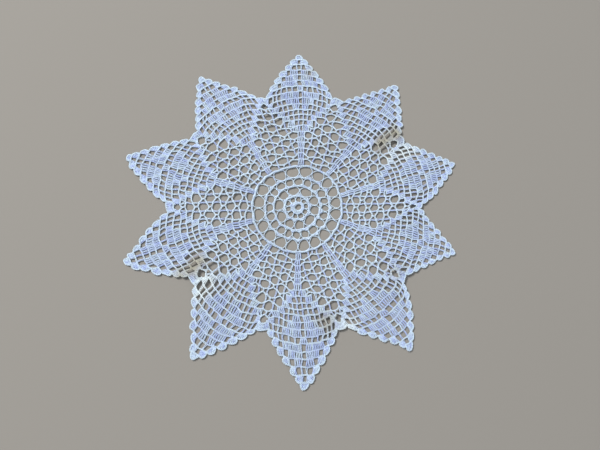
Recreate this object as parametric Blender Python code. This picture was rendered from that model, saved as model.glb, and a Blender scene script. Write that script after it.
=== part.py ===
"""Crocheted lace doily, worked in rounds from the centre out.

Centre rings, a heavy ring, ten treble spokes with a lacet net between them,
ten filet petals and a scalloped edge. It is one sheet, so it is one closed
solid: the outline and the large gaps are worked out row by row in a regular
ten-fold layout, the layout is pulled to the uneven shape in which the doily
lies, and the sheet is extruded to the thickness of the crochet.

Layout units are millimetres and degrees, clockwise from +Y.
"""
import math

import bmesh
import bpy
import numpy as np
from mathutils import Vector
from mathutils.geometry import delaunay_2d_cdt

MM = 0.001
TINY = 1e-9

# ---- Driving dimensions ---------------------------------------------------
SECTORS = 10
SECTOR_ANGLE = 360.0 / SECTORS
HALF_SECTOR = SECTOR_ANGLE / 2

THICKNESS = 1.4          # crochet of 0.6 mm thread
STRAND_HALF = 0.95       # half the width of a worked strand, with its loops
BAR_HALF = 0.75          # half the width of a bar between two filet cells
FLANK = 4.5              # width of the solid block on a petal's flank
RING_EDGE = 40.8         # outer edge of the heavy ring
NET_ROW = 5.53           # height of a row of the net and of the spokes
PETAL_ROW = 5.6          # height of a filet row on a petal's axis
ROW_BOW = 0.0088         # how fast a filet row falls away from the axis, per mm
TIP_RADIUS = 152.2       # centre to the tip of a petal
SPOKE_HALF = (2.6, 3.3)  # half width of a spoke at its foot and at its top

# Row lines are counted from the heavy ring (line 0). The spokes end at line
# SPOKE_TOP, the widest petal row at line WIDE, the last filet row at line TOP.
SPOKE_TOP = 6
WIDE = 13
TOP = 19
# The filet rows from line SPOKE_TOP out: the width of an open cell and of one
# filled with trebles, and the chart, a dot for an open cell and a hash for a
# filled one.
FILET_COLUMNS = ("open", "filled", "chart")
FILET_ROWS = (
    (4.2, 0.0, "."),
    (4.15, 0.0, "..."),
    (4.25, 0.0, "....."),
    (4.35, 0.0, "......."),
    (4.05, 5.8, "...#.#..."),
    (4.0, 5.5, "...##.##..."),
    (3.8, 5.2, "...###.###..."),
    (4.4, 5.6, ".....#....."),
    (4.1, 4.85, ".###.###."),
    (4.1, 5.15, ".##.##."),
    (4.1, 5.55, ".#.#."),
    (4.2, 0.0, "..."),
    (4.2, 0.0, "."),
)
# Below the blocks the rows on a petal's axis lie closer in: at these lines, by
# how many mm.
DIP_LINES = (8, 10, 11, 13, 15)
DIPS = (0.0, 1.3, 1.4, 0.4, 0.0)
# Between two spokes the rows of the net are drawn in: at these lines, by how
# many mm on the notch's axis.
SAG_LINES = (0, 1, 7, 12)
SAGS = (0.0, 2.1, 1.8, 1.1)

# ---- The uneven shape in which the doily lies -----------------------------
# One row for each petal. The angle is that of its tip. Across (x, clockwise)
# and out (r) are measured from the doily's centre in the petal's own axes, to
# the middle of its last row (crown), of its widest row (mid, with its end
# cells left and right) and of its first row (foot).
PETAL_COLUMNS = ("angle", "tip", "crown_x", "crown_r", "mid_x", "mid_r",
                 "left_x", "left_r", "right_x", "right_r", "foot_x", "foot_r",
                 "spoke_angle", "ring_r")
PETAL_ROWS = (
    (1.3, 149.4, 0.0, 142.0, 1.5, 109.0, -26.5, 101.0, 28.0, 104.0, 2.5, 74.5, 4.0, 39.7),
    (38.4, 154.4, 0.0, 146.5, 2.0, 113.5, -26.5, 106.5, 27.5, 111.5, 3.5, 80.0, 41.3, 41.4),
    (73.5, 151.9, 0.0, 144.0, -1.0, 113.0, -28.0, 109.5, 25.5, 106.5, 0.0, 79.0, 73.5, 40.4),
    (106.6, 143.9, -1.0, 136.5, 0.0, 107.0, -27.5, 101.5, 27.0, 103.0, 2.5, 74.0, 108.7, 39.7),
    (143.3, 152.9, -2.5, 145.0, -0.5, 110.5, -29.3, 105.0, 27.0, 104.0, 3.5, 76.0, 147.0, 40.1),
    (179.3, 151.9, -0.5, 143.5, -0.5, 108.5, -26.0, 103.5, 25.5, 102.0, 3.0, 75.0, 181.5, 41.8),
    (214.9, 153.4, -1.0, 146.0, 0.0, 110.5, -27.0, 105.5, 28.5, 104.0, 2.0, 75.5, 216.6, 42.1),
    (251.3, 152.4, -0.5, 145.0, 1.0, 112.0, -24.5, 104.5, 27.5, 105.5, 2.0, 78.5, 252.0, 42.2),
    (286.3, 154.4, 0.0, 147.5, 1.0, 113.5, -26.0, 108.0, 28.5, 107.0, 1.5, 79.0, 289.0, 41.3),
    (324.4, 150.9, -1.0, 142.5, -1.5, 111.0, -28.0, 107.0, 27.5, 104.5, 0.5, 76.5, 321.3, 39.9),
)
# The end cells of the row halfway up each petal's crown, in the same axes, and
# how far the shells on either side stand out.
BROW = 15
END_CELL = 27.0          # middle of the widest row's end cell, from the axis
BROW_CELL = 19.0         # middle of the brow row's end cell, from the axis
BROW_COLUMNS = ("left_x", "left_r", "right_x", "right_r", "left_shell", "right_shell")
BROW_ROWS = (
    (-18.8, 115.9, 19.6, 118.1, 6.7, 6.4),
    (-17.5, 119.4, 20.5, 123.2, 4.0, 6.4),
    (-18.9, 121.8, 18.7, 120.0, 5.2, 7.2),
    (-19.3, 112.3, 18.5, 113.9, 5.4, 5.2),
    (-23.3, 118.0, 18.8, 117.7, 6.2, 5.2),
    (-19.2, 115.7, 18.8, 115.1, 6.4, 5.2),
    (-19.2, 118.4, 19.9, 117.7, 6.0, 5.2),
    (-18.4, 116.2, 20.1, 119.9, 6.8, 4.6),
    (-18.5, 121.4, 20.2, 121.1, 7.4, 4.7),
    (-19.6, 119.0, 19.0, 118.3, 6.6, 5.6),
)
# One row for each notch, clockwise after the petal of the same number: the
# radii of the valley in the edge, of the last gap inside it and of mid net.
NOTCH_COLUMNS = ("angle", "valley", "gap", "net")
NOTCH_LINES = ((WIDE, "valley"), (11.37, "gap"), (7.27, "net"))
NOTCH_ROWS = (
    (20.0, 113.0, 103.5, 81.0),
    (55.8, 120.0, 109.0, 86.0),
    (89.3, 112.0, 103.5, 80.0),
    (126.0, 112.0, 102.5, 78.0),
    (162.0, 111.0, 102.0, 79.5),
    (197.5, 111.0, 102.0, 79.0),
    (234.5, 112.0, 102.0, 79.0),
    (269.4, 114.0, 105.0, 83.0),
    (305.5, 114.5, 105.5, 82.0),
    (342.6, 109.0, 100.0, 78.0),
)
# Where the sheet lifts off the surface: a round swell of this spread (the
# radius at which it has died out) and height. Elsewhere it lies flat.
SWELL_COLUMNS = ("angle", "radius", "spread", "height")
SWELL_ROWS = (
    (52.0, 106.0, 30.0, 1.8),
    (90.0, 100.0, 26.0, 1.5),
    (126.0, 101.0, 28.0, 1.6),
    (165.0, 99.0, 27.0, 1.5),
    (236.0, 100.0, 30.0, 2.0),
    (342.0, 93.0, 26.0, 1.3),
    (20.0, 62.0, 20.0, 0.8),
    (288.0, 60.0, 22.0, 0.9),
)

# ---- The gaps ---------------------------------------------------------------
# Rings of gaps round the centre: how many, their inner and outer radius, the
# angle of the first, the worked strand between two, and the ring's own centre.
RING_COLUMNS = ("count", "inner", "outer", "first", "post", "x", "y")
RING_ROWS = (
    (10, 5.9, 9.8, 9.0, 1.7, -1.2, -0.5),
    (10, 12.2, 19.2, -10.8, 1.8, -1.0, 0.0),
    (20, 21.5, 27.1, 0.0, 1.8, -0.4, 0.0),
    (20, 29.2, 37.6, -9.5, 1.8, 0.0, 0.0),
)
CENTRE_GAP = 2.6
RING_GAP_CORNERS = 7
CENTRE_GAP_CORNERS = 8
ROUNDING = 0.72          # 1 is an ellipse, smaller is closer to a rectangle

# The net between two spokes: half of the middle column's width and the outer
# limit of the columns beside it. Past it the row ends in the last column.
NET_COLUMNS = ("row", "near", "far", "bars")
NET_ROWS = (
    (1, 4.1, None, (-1, 1)),
    (2, 4.1, None, (0,)),
    (3, 3.9, 11.5, (-1, 1)),
    (4, 3.8, 11.2, (-2, 0, 2)),
    (5, 3.7, 11.1, (-1, 1)),
    (6, 3.8, 11.5, (-2, 0, 2)),
    (7, 3.7, 11.0, (-1, 1)),
    (8, 3.7, None, (0,)),
    (9, 3.7, None, (-1, 1)),
    (10, 4.2, None, (0,)),
    (12, None, None, (0,)),
)
FLAT_FOOTED = ((1, -1), (1, 1), (4, -2), (4, 2))   # bars with no lacet below
LACET_DEPTH = 0.6        # how far up its row a lacet's V reaches down
ARCH = 0.16              # how far a bar is drawn up in its middle, in rows
# Filet cells cut on each petal's axis, by row: the largest of each third.
PETAL_GAP_ROWS = (10, 15, 19)

# ---- The edge ---------------------------------------------------------------
# A shell at the end of each filet row above the widest: its outer corners, as
# a share of its reach past the row's last cell and in rows above the row's foot.
SHELL_COLUMNS = ("share", "up")
SHELL_ROWS = ((0.92, 0.06), (1.0, 0.42), (0.86, 0.84), (0.45, 1.06))
TIP_SHELL_HALF = 3.9
TIP_SHELL_FOOT = 0.15    # where the tip shell's sides turn up, in its height
TIP_SHELL_TUCK = 0.02    # how far its foot is drawn in, in half turns
TIP_SHELL_CORNERS = 6
LOW_SHELL = 5.6          # reach of the lowest shell, beside the notch, at most
NOTCH_SHELL_STEPS = (-0.45, 0.45)

LINEN_WHITE = (0.80, 0.82, 0.88, 1.0)
THREAD_ROUGHNESS = 0.85


def table(columns, rows):
    """Rows of a table as dictionaries with named columns."""
    return [dict(zip(columns, row)) for row in rows]


PETALS = table(PETAL_COLUMNS, PETAL_ROWS)
BROWS = table(BROW_COLUMNS, BROW_ROWS)
NOTCHES = table(NOTCH_COLUMNS, NOTCH_ROWS)
SWELLS = table(SWELL_COLUMNS, SWELL_ROWS)
RINGS = table(RING_COLUMNS, RING_ROWS)
NET = table(NET_COLUMNS, NET_ROWS)
SHELL = table(SHELL_COLUMNS, SHELL_ROWS)
FILET = table(FILET_COLUMNS, FILET_ROWS)


# ---- Regular layout ---------------------------------------------------------
def polar(angle, radius):
    """Point at an angle clockwise from +Y."""
    turn = math.radians(angle)
    return (radius * math.sin(turn), radius * math.cos(turn))


def in_axes(angle, across, out):
    """Point given across (clockwise) and out along an axis at an angle."""
    turn = math.radians(angle)
    return (across * math.cos(turn) + out * math.sin(turn),
            out * math.cos(turn) - across * math.sin(turn))


def notch_line(row):
    """Radius of a row line on a notch's axis."""
    return RING_EDGE + NET_ROW * row


def even_line(row):
    """Radius of a row line on a petal's axis, if the rows were even."""
    return notch_line(min(row, SPOKE_TOP)) + PETAL_ROW * max(row - SPOKE_TOP, 0)


def petal_line(row):
    """Radius of a row line on a petal's axis."""
    return even_line(row) - float(np.interp(row, DIP_LINES, DIPS))


def filet(row):
    """The filet row below a row line."""
    return FILET[row - SPOKE_TOP - 1]


def filet_half(row):
    """Half width of the filet cells of the row below a row line."""
    chart = filet(row)["chart"]
    return (chart.count(".") * filet(row)["open"] + chart.count("#") * filet(row)["filled"]) / 2


def half_width(row):
    """Half width of the spoke or petal, with its flanks, at a row line."""
    lines = [0, SPOKE_TOP, *range(SPOKE_TOP + 1, WIDE + 1)]
    halves = [*SPOKE_HALF, *(filet_half(line) + FLANK for line in lines[2:-1]),
              filet_half(WIDE)]
    return float(np.interp(row, lines, halves))


def bowed_radius(angle, row):
    """Radius of a bowed filet row at an angle from the petal's axis."""
    side, along = math.sin(math.radians(angle)), math.cos(math.radians(angle))
    bend = ROW_BOW * side * side
    if bend < TINY:
        return petal_line(row)
    return (math.sqrt(along * along + 4 * bend * petal_line(row)) - along) / (2 * bend)


def edge_angle(row):
    """Angle from the petal's axis at which the net begins."""
    half = half_width(row)
    return math.degrees(math.atan2(half, petal_line(row) - ROW_BOW * half * half))


def line_radius(angle, row):
    """Radius of a row line at 0 to HALF_SECTOR degrees from a petal's axis."""
    edge = edge_angle(row)
    if angle <= edge:
        return bowed_radius(angle, row)
    share = (HALF_SECTOR - angle) / (HALF_SECTOR - edge)
    middle = notch_line(row) - float(np.interp(row, SAG_LINES, SAGS))
    return middle + (bowed_radius(edge, row) - middle) * share * share


def petal_point(petal, across, row):
    """Point of a petal, across its axis in mm and out in rows."""
    out = petal_line(row) - ROW_BOW * across * across
    return in_axes(petal * SECTOR_ANGLE, across, out)


def net_point(notch, across, row):
    """Point of the net, across the notch's axis in mm and out in rows."""
    radius = notch_line(row)
    for _ in range(3):
        turn = math.degrees(abs(across) / radius)
        radius = line_radius(HALF_SECTOR - turn, row)
    angle = (notch + 0.5) * SECTOR_ANGLE + math.copysign(turn, across)
    return polar(angle, radius)


def net_half(row):
    """Half width of the net at a row line."""
    edge = edge_angle(row)
    return math.radians(HALF_SECTOR - edge) * bowed_radius(edge, row)


# ---- From the regular layout to the shape in which the doily lies -----------
def even_point(petal, across, row):
    """Point of a petal whose rows are even."""
    out = even_line(row) - ROW_BOW * across * across
    return in_axes(petal * SECTOR_ANGLE, across, out)


def control_points():
    """Pairs of points: in the regular layout, and where they lie."""
    pairs = [((0.0, 0.0), (0.0, 0.0))]
    for number, (petal, brow) in enumerate(zip(PETALS, BROWS)):
        places = (
            (even_point(number, 0.0, TOP - 0.5), petal["crown_x"], petal["crown_r"]),
            (even_point(number, 0.0, WIDE - 0.5), petal["mid_x"], petal["mid_r"]),
            (even_point(number, -END_CELL, WIDE - 0.5), petal["left_x"], petal["left_r"]),
            (even_point(number, END_CELL, WIDE - 0.5), petal["right_x"], petal["right_r"]),
            (even_point(number, -BROW_CELL, BROW - 0.5), brow["left_x"], brow["left_r"]),
            (even_point(number, BROW_CELL, BROW - 0.5), brow["right_x"], brow["right_r"]),
            (even_point(number, 0.0, SPOKE_TOP + 0.5), petal["foot_x"], petal["foot_r"]),
            (in_axes(number * SECTOR_ANGLE, 0.0, TIP_RADIUS), 0.0, petal["tip"]),
        )
        for regular, across, out in places:
            pairs.append((regular, in_axes(petal["angle"], across, out)))
        ring = even_point(number, 0.0, 0)
        pairs.append((ring, polar(petal["spoke_angle"], petal["ring_r"])))
    for number, notch in enumerate(NOTCHES):
        angle = (number + 0.5) * SECTOR_ANGLE
        for line, column in NOTCH_LINES:
            place = polar(notch["angle"], notch[column])
            pairs.append((polar(angle, notch_line(line)), place))
    return pairs


def spline_kernel(distance_squared):
    """Thin-plate spline kernel."""
    return distance_squared * np.log(distance_squared + TINY)


class Warp:
    """Thin-plate spline through the control points."""

    def __init__(self, pairs):
        self.knots = np.array([regular for regular, _ in pairs])
        lying = np.array([place for _, place in pairs])
        count = len(pairs)
        gaps = ((self.knots[:, None] - self.knots[None]) ** 2).sum(-1)
        plane = np.c_[np.ones(count), self.knots]
        system = np.zeros((count + 3, count + 3))
        system[:count, :count] = spline_kernel(gaps)
        system[:count, count:] = plane
        system[count:, :count] = plane.T
        target = np.zeros((count + 3, 2))
        target[:count] = lying
        self.weights = np.linalg.solve(system, target)

    def __call__(self, points):
        points = np.asarray(points, float)
        gaps = ((points[:, None] - self.knots[None]) ** 2).sum(-1)
        plane = np.c_[np.ones(len(points)), points]
        return np.c_[spline_kernel(gaps), plane] @ self.weights


# ---- Outline and gaps --------------------------------------------------------
def shell_outline(petal, side, row):
    """Outer corners of the shell that ends the filet row below a row line."""
    last_cell = filet_half(row)
    reach = BROWS[petal]["left_shell" if side < 0 else "right_shell"]
    shell = SHELL
    if row == WIDE + 1:
        reach, shell = min(reach, LOW_SHELL), SHELL[1:]
    corners = [petal_point(petal, side * (last_cell + reach * corner["share"]),
                           row - 1 + corner["up"]) for corner in shell]
    return corners if side < 0 else corners[::-1]


def tip_outline(petal):
    """Dome of the shell on the petal's tip."""
    height = TIP_RADIUS - petal_line(TOP)
    corners = []
    for step in range(TIP_SHELL_CORNERS):
        share = step / (TIP_SHELL_CORNERS - 1)
        turn = math.pi * (1 + TIP_SHELL_TUCK - (1 + 2 * TIP_SHELL_TUCK) * share)
        rise = TIP_SHELL_FOOT + (1 - TIP_SHELL_FOOT) * math.sin(turn)
        out = petal_line(TOP) + height * rise
        across = TIP_SHELL_HALF * math.cos(turn)
        corners.append(in_axes(petal * SECTOR_ANGLE, across, out))
    return corners


def notch_outline(notch):
    """Top of the wide shell in a notch."""
    half = net_half(WIDE)
    return [net_point(notch, half * step, WIDE) for step in NOTCH_SHELL_STEPS]


def outline():
    """The doily's edge, clockwise."""
    corners = []
    for petal in range(SECTORS):
        for row in range(WIDE + 1, TOP + 1):
            corners += shell_outline(petal, -1, row)
        corners += tip_outline(petal)
        for row in range(TOP, WIDE, -1):
            corners += shell_outline(petal, 1, row)
        corners += notch_outline(petal)
    return corners


def ring_gap(ring, number):
    """Rounded gap between two posts of a centre ring."""
    pitch = 360.0 / ring["count"]
    middle = ring["first"] + pitch * number
    mid_radius = (ring["inner"] + ring["outer"]) / 2
    half_out = (ring["outer"] - ring["inner"]) / 2
    half_turn = pitch / 2 - math.degrees(ring["post"] / 2 / mid_radius)
    corners = []
    for step in range(RING_GAP_CORNERS):
        turn = 2 * math.pi * (step + 0.5) / RING_GAP_CORNERS
        along, out = math.cos(turn), math.sin(turn)
        along = math.copysign(abs(along) ** ROUNDING, along)
        out = math.copysign(abs(out) ** ROUNDING, out)
        x, y = polar(middle + half_turn * along, mid_radius + half_out * out)
        corners.append((x + ring["x"], y + ring["y"]))
    return corners


def centre_gap():
    """Round gap in the middle."""
    return [polar(360.0 * step / CENTRE_GAP_CORNERS, CENTRE_GAP)
            for step in range(CENTRE_GAP_CORNERS)]


def column_limits(net_row, column):
    """Start and end of a column of the net, mm across the notch's axis."""
    far = net_row["far"] or net_half(net_row["row"])
    near = net_row["near"] or far
    if column == 0:
        return -near, near
    limits = (near, far) if abs(column) == 1 else (far, net_half(net_row["row"]))
    return limits if column > 0 else (-limits[1], -limits[0])


def net_gap(notch, net_row, column):
    """Gap under a bar: arched above, pointed where a lacet's V lies below."""
    row = net_row["row"]
    start, end = column_limits(net_row, column)
    start, end = start + STRAND_HALF, end - STRAND_HALF
    middle = (start + end) / 2
    strand = STRAND_HALF / NET_ROW
    top = row - strand
    foot = row - 1 + strand
    corners = [(end, top), (middle, top + ARCH), (start, top)]
    if (row, column) in FLAT_FOOTED:
        corners += [(start, foot), (end, foot)]
    else:
        corners += [(start, foot), (middle, row - 2 + LACET_DEPTH + strand), (end, foot)]
    return [net_point(notch, across, line) for across, line in corners]


def petal_gap(petal, row):
    """Open filet cell on the petal's axis."""
    half = filet(row)["open"] / 2 - BAR_HALF
    strand = BAR_HALF / PETAL_ROW
    corners = ((half, row - strand), (-half, row - strand),
               (-half, row - 1 + strand), (half, row - 1 + strand))
    return [petal_point(petal, across, line) for across, line in corners]


def gaps():
    """All gaps that are cut through."""
    loops = [centre_gap()]
    for ring in RINGS:
        loops += [ring_gap(ring, number) for number in range(ring["count"])]
    for sector in range(SECTORS):
        for net_row in NET:
            loops += [net_gap(sector, net_row, column) for column in net_row["bars"]]
        loops += [petal_gap(sector, row) for row in PETAL_GAP_ROWS]
    return loops


# ---- The sheet ---------------------------------------------------------------
def lift(x, y):
    """Height of the sheet's underside above the surface."""
    height = 0.0
    for swell in SWELLS:
        centre = polar(swell["angle"], swell["radius"])
        share = math.hypot(x - centre[0], y - centre[1]) / swell["spread"]
        if share < 1.0:
            height = max(height, swell["height"] * (1.0 - share * share) ** 2)
    return height


def signed_area(loop):
    """Area of a loop, positive when it runs anticlockwise."""
    x, y = np.array(loop).T
    return 0.5 * float(np.dot(x, np.roll(y, -1)) - np.dot(y, np.roll(x, -1)))


def is_inside(place, loop):
    """Whether a point is inside a loop."""
    inside = False
    x, y = place
    for (ax, ay), (bx, by) in zip(loop, loop[1:] + loop[:1]):
        if (ay > y) != (by > y) and x < ax + (bx - ax) * (y - ay) / (by - ay):
            inside = not inside
    return inside


def triangulate(loops):
    """Triangles of a sheet with gaps: outer loop first, then the gaps."""
    points = [Vector(point) for loop in loops for point in loop]
    owner = [number for number, loop in enumerate(loops) for _ in loop]
    edges, start = [], 0
    for loop in loops:
        count = len(loop)
        edges += [(start + step, start + (step + 1) % count) for step in range(count)]
        start += count
    inside_edges, weld = 1, 1e-6
    places, _, faces, _, _, _ = delaunay_2d_cdt(points, edges, [], inside_edges, weld)
    if len(places) != len(points):
        raise ValueError("two loops touch")
    kept = []
    for face in faces:
        owners = {owner[corner] for corner in face}
        gap = owners.pop() if len(owners) == 1 else 0
        middle = sum((places[corner] for corner in face), Vector((0.0, 0.0))) / 3
        if gap == 0 or not is_inside(middle, loops[gap]):
            kept.append(face)
    return kept


def sheet_mesh(name, loops):
    """Closed mesh of the sheet: underside, upper side and every cut edge."""
    centre_x, centre_y = bounds_centre(loops[0])
    faces = triangulate(loops)
    mesh = bmesh.new()
    under, upper = [], []
    for loop in loops:
        for x, y in loop:
            base = lift(x, y)
            place = ((x - centre_x) * MM, (y - centre_y) * MM)
            under.append(mesh.verts.new((*place, base * MM)))
            upper.append(mesh.verts.new((*place, (base + THICKNESS) * MM)))
    for face in faces:
        mesh.faces.new([upper[corner] for corner in face])
        mesh.faces.new([under[corner] for corner in reversed(face)])
    start = 0
    for loop in loops:
        count = len(loop)
        for step in range(count):
            a, b = start + step, start + (step + 1) % count
            mesh.faces.new((under[a], under[b], upper[b], upper[a]))
        start += count
    bmesh.ops.recalc_face_normals(mesh, faces=mesh.faces)
    data = bpy.data.meshes.new(name)
    mesh.to_mesh(data)
    mesh.free()
    return data


def bounds_centre(loop):
    """Middle of a loop's bounding box."""
    x, y = np.array(loop).T
    return (x.min() + x.max()) / 2, (y.min() + y.max()) / 2


def thread_material():
    """Bleached cotton thread."""
    material = bpy.data.materials.new("cotton_thread")
    material.use_nodes = True
    surface = material.node_tree.nodes["Principled BSDF"]
    surface.inputs["Base Color"].default_value = LINEN_WHITE
    surface.inputs["Roughness"].default_value = THREAD_ROUGHNESS
    surface.inputs["Metallic"].default_value = 0.0
    return material


def clear_scene():
    """Remove every object."""
    for item in list(bpy.data.objects):
        bpy.data.objects.remove(item, do_unlink=True)


def build():
    """The doily."""
    clear_scene()
    warp = Warp(control_points())
    loops = []
    for number, loop in enumerate([outline()] + gaps()):
        loop = [tuple(point) for point in warp(loop)]
        anticlockwise = signed_area(loop) > 0
        wanted = number == 0
        loops.append(loop if anticlockwise == wanted else loop[::-1])
    data = sheet_mesh("doily", loops)
    data.materials.append(thread_material())
    doily = bpy.data.objects.new("doily", data)
    bpy.context.scene.collection.objects.link(doily)
    print("doily:", len(loops) - 1, "gaps")


build()
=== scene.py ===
"""Looks of the crocheted lace doily: every stitch worked in thread.

The doily is laid out row by row in a regular ten-fold layout, as its solid is,
and pulled to the uneven shape in which it lies. Each stitch is made of thread:
a treble is two legs with a wrap round their middle, a single crochet is two
short legs, and a chain is a line of links. Petals and notches are counted
clockwise from the top petal, and the notch after a petal has its number.
Layout units are millimetres and degrees, clockwise from +Y.
"""
import itertools
import math

import bpy
import numpy as np
from mathutils import Matrix, Vector


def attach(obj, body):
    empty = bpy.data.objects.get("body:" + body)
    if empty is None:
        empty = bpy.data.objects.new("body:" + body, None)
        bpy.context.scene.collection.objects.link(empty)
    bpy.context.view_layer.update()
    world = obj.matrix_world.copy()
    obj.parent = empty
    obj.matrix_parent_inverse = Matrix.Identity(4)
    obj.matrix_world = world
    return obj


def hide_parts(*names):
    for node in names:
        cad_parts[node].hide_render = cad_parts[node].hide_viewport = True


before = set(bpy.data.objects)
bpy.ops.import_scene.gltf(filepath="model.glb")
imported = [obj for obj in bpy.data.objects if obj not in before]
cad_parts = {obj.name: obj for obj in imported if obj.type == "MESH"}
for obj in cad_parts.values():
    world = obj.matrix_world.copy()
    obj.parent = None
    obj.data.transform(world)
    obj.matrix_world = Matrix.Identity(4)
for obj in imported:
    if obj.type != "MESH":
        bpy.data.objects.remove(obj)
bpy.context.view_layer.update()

MM = 0.001
TINY = 1e-9


def table(columns, rows):
    """Rows of a table as dictionaries with named columns."""
    return [dict(zip(columns, row)) for row in rows]


# ---- Driving dimensions, the same as the solid's
SECTORS = 10
SECTOR_ANGLE = 360.0 / SECTORS
HALF_SECTOR = SECTOR_ANGLE / 2
BOX_CENTRE = (-1.360, -1.241)  # the box's centre, from the doily's own

FLANK = 4.5           # width of the solid block on a petal's flank
RING_EDGE = 40.8      # outer edge of the heavy ring
NET_ROW = 5.53        # height of a row of the net and of the spokes
PETAL_ROW = 5.6       # height of a filet row on a petal's axis
ROW_BOW = 0.0088      # how fast a filet row falls away from the axis, per mm
TIP_RADIUS = 152.2    # centre to the tip of a petal
SPOKE_HALF = (2.6, 3.3)  # half width of a spoke at its foot and at its top
# Row lines are counted from the heavy ring (line 0), and a row has the number
# of the line on which it ends.
SPOKE_TOP = 6         # line on which the spokes end
WIDE = 13             # line of the widest filet row
TOP = 19              # line of the last filet row
# The filet rows from line SPOKE_TOP out: the width of an open cell and of one
# filled with trebles, and the chart, a dot for an open cell and a hash for a
# filled one.
FILET = table(("open", "filled", "chart"), (
    (4.2, 0.0, "."),
    (4.15, 0.0, "..."),
    (4.25, 0.0, "....."),
    (4.35, 0.0, "......."),
    (4.05, 5.8, "...#.#..."),
    (4.0, 5.5, "...##.##..."),
    (3.8, 5.2, "...###.###..."),
    (4.4, 5.6, ".....#....."),
    (4.1, 4.85, ".###.###."),
    (4.1, 5.15, ".##.##."),
    (4.1, 5.55, ".#.#."),
    (4.2, 0.0, "..."),
    (4.2, 0.0, "."),
))
# Below the blocks the rows on a petal's axis lie closer in: at these lines, by
# how many mm.
DIP_LINES = (8, 10, 11, 13, 15)
DIPS = (0.0, 1.3, 1.4, 0.4, 0.0)
# Between two spokes the rows of the net are drawn in: at these lines, by how
# many mm on the notch's axis.
SAG_LINES = (0, 1, 7, 12)
SAGS = (0.0, 2.1, 1.8, 1.1)

# ---- The uneven shape in which the doily lies
# One row for each petal, first the angle and radius of its tip. The points after
# them are given across (x, clockwise) and out (r) in the petal's own axes: the
# middle of its last row (crown), of its widest row (mid) and that row's end
# cells (left, right), and of its first row (foot). The foot of its spoke on the
# heavy ring comes last.
PETALS = table(("angle", "tip", "crown_x", "crown_r", "mid_x", "mid_r",
                "left_x", "left_r", "right_x", "right_r", "foot_x", "foot_r",
                "spoke_angle", "ring_r"), (
    (1.3, 149.4, 0.0, 142.0, 1.5, 109.0, -26.5, 101.0, 28.0, 104.0, 2.5, 74.5, 4.0, 39.7),
    (38.4, 154.4, 0.0, 146.5, 2.0, 113.5, -26.5, 106.5, 27.5, 111.5, 3.5, 80.0, 41.3, 41.4),
    (73.5, 151.9, 0.0, 144.0, -1.0, 113.0, -28.0, 109.5, 25.5, 106.5, 0.0, 79.0, 73.5, 40.4),
    (106.6, 143.9, -1.0, 136.5, 0.0, 107.0, -27.5, 101.5, 27.0, 103.0, 2.5, 74.0, 108.7, 39.7),
    (143.3, 152.9, -2.5, 145.0, -0.5, 110.5, -29.3, 105.0, 27.0, 104.0, 3.5, 76.0, 147.0, 40.1),
    (179.3, 151.9, -0.5, 143.5, -0.5, 108.5, -26.0, 103.5, 25.5, 102.0, 3.0, 75.0, 181.5, 41.8),
    (214.9, 153.4, -1.0, 146.0, 0.0, 110.5, -27.0, 105.5, 28.5, 104.0, 2.0, 75.5, 216.6, 42.1),
    (251.3, 152.4, -0.5, 145.0, 1.0, 112.0, -24.5, 104.5, 27.5, 105.5, 2.0, 78.5, 252.0, 42.2),
    (286.3, 154.4, 0.0, 147.5, 1.0, 113.5, -26.0, 108.0, 28.5, 107.0, 1.5, 79.0, 289.0, 41.3),
    (324.4, 150.9, -1.0, 142.5, -1.5, 111.0, -28.0, 107.0, 27.5, 104.5, 0.5, 76.5, 321.3, 39.9),
))
# The same for the end cells of the second row above the widest, the brow row,
# and how far the shells on either side of the petal stand out.
BROW = 15
END_CELL = 27.0       # middle of the widest row's end cell, from the axis
BROW_CELL = 19.0      # middle of the brow row's end cell, from the axis
BROWS = table(("left_x", "left_r", "right_x", "right_r", "left_shell", "right_shell"), (
    (-18.8, 115.9, 19.6, 118.1, 6.7, 6.4),
    (-17.5, 119.4, 20.5, 123.2, 4.0, 6.4),
    (-18.9, 121.8, 18.7, 120.0, 5.2, 7.2),
    (-19.3, 112.3, 18.5, 113.9, 5.4, 5.2),
    (-23.3, 118.0, 18.8, 117.7, 6.2, 5.2),
    (-19.2, 115.7, 18.8, 115.1, 6.4, 5.2),
    (-19.2, 118.4, 19.9, 117.7, 6.0, 5.2),
    (-18.4, 116.2, 20.1, 119.9, 6.8, 4.6),
    (-18.5, 121.4, 20.2, 121.1, 7.4, 4.7),
    (-19.6, 119.0, 19.0, 118.3, 6.6, 5.6),
))
# One row for each notch: its angle, and the radii of the valley in the edge, of
# the last gap inside it and of mid net. In the layout they lie on these lines.
NOTCH_LINES = ((WIDE, "valley"), (11.37, "gap"), (7.27, "net"))
NOTCHES = table(("angle", "valley", "gap", "net"), (
    (20.0, 113.0, 103.5, 81.0),
    (55.8, 120.0, 109.0, 86.0),
    (89.3, 112.0, 103.5, 80.0),
    (126.0, 112.0, 102.5, 78.0),
    (162.0, 111.0, 102.0, 79.5),
    (197.5, 111.0, 102.0, 79.0),
    (234.5, 112.0, 102.0, 79.0),
    (269.4, 114.0, 105.0, 83.0),
    (305.5, 114.5, 105.5, 82.0),
    (342.6, 109.0, 100.0, 78.0),
))
# The round swells in which the doily lifts off the surface, their spread from
# middle to edge. Elsewhere it lies flat.
SWELLS = table(("angle", "radius", "spread", "height"), (
    (52.0, 106.0, 30.0, 1.8),
    (90.0, 100.0, 26.0, 1.5),
    (126.0, 101.0, 28.0, 1.6),
    (165.0, 99.0, 27.0, 1.5),
    (236.0, 100.0, 30.0, 2.0),
    (342.0, 93.0, 26.0, 1.3),
    (20.0, 62.0, 20.0, 0.8),
    (288.0, 60.0, 22.0, 0.9),
))

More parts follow.
